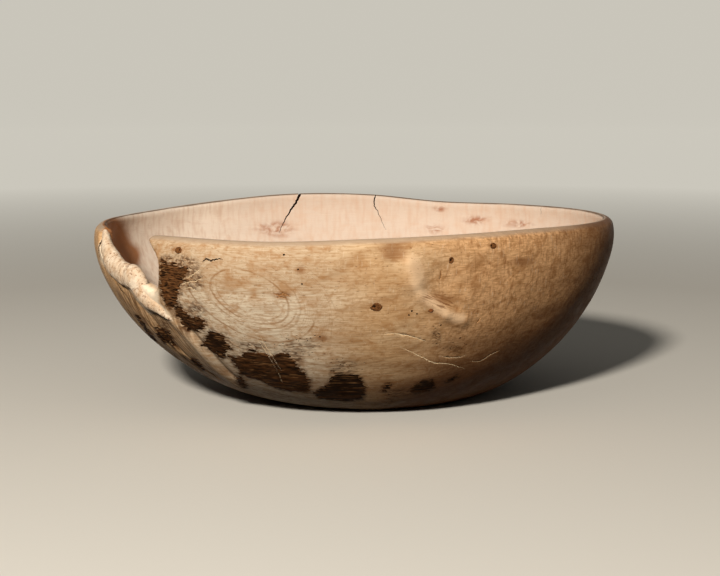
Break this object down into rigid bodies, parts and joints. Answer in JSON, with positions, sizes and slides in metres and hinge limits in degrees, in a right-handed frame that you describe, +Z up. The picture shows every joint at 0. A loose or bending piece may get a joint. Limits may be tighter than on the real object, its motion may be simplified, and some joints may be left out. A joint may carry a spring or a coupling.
{
  "type": "root wood bowl",
  "caption": "Large oval bowl hollowed by hand from one root, with a thick uneven rim, a natural notch edged by a pale roll of wound wood, and remains of bark.",
  "frame": {"origin": "under the middle of the bowl's length and width, on the surface that its foot stands on", "axes": "+X along the length, to the right as seen from the bark side; +Y away from the bark side; +Z up"},
  "size_m": [0.423, 0.3652, 0.1472],
  "materials": {
    "root_wood": "waxed, satin, worn smooth",
    "callus_wood": "bare, pale, rubbed",
    "knot_wood": "dark, checked",
    "bark": "dark, rough, scraped",
    "resin": "amber, glossy"
  },
  "bodies": {
    "root": {"bowl_shell": "root_wood", "callus_lip": "callus_wood", "resin_bead": "resin", "dead_knot": "knot_wood", "rim_knot": "knot_wood", "small_knot": "knot_wood", "left_knot": "knot_wood", "bark_remnant_01": "bark", "bark_remnant_02": "bark", "bark_remnant_03": "bark", "bark_remnant_04": "bark", "bark_remnant_05": "bark", "bark_remnant_06": "bark", "bark_remnant_07": "bark", "bark_remnant_08": "bark", "bark_remnant_09": "bark", "bark_remnant_10": "bark", "bark_remnant_11": "bark", "bark_remnant_12": "bark"}
  },
  "joints": []
}
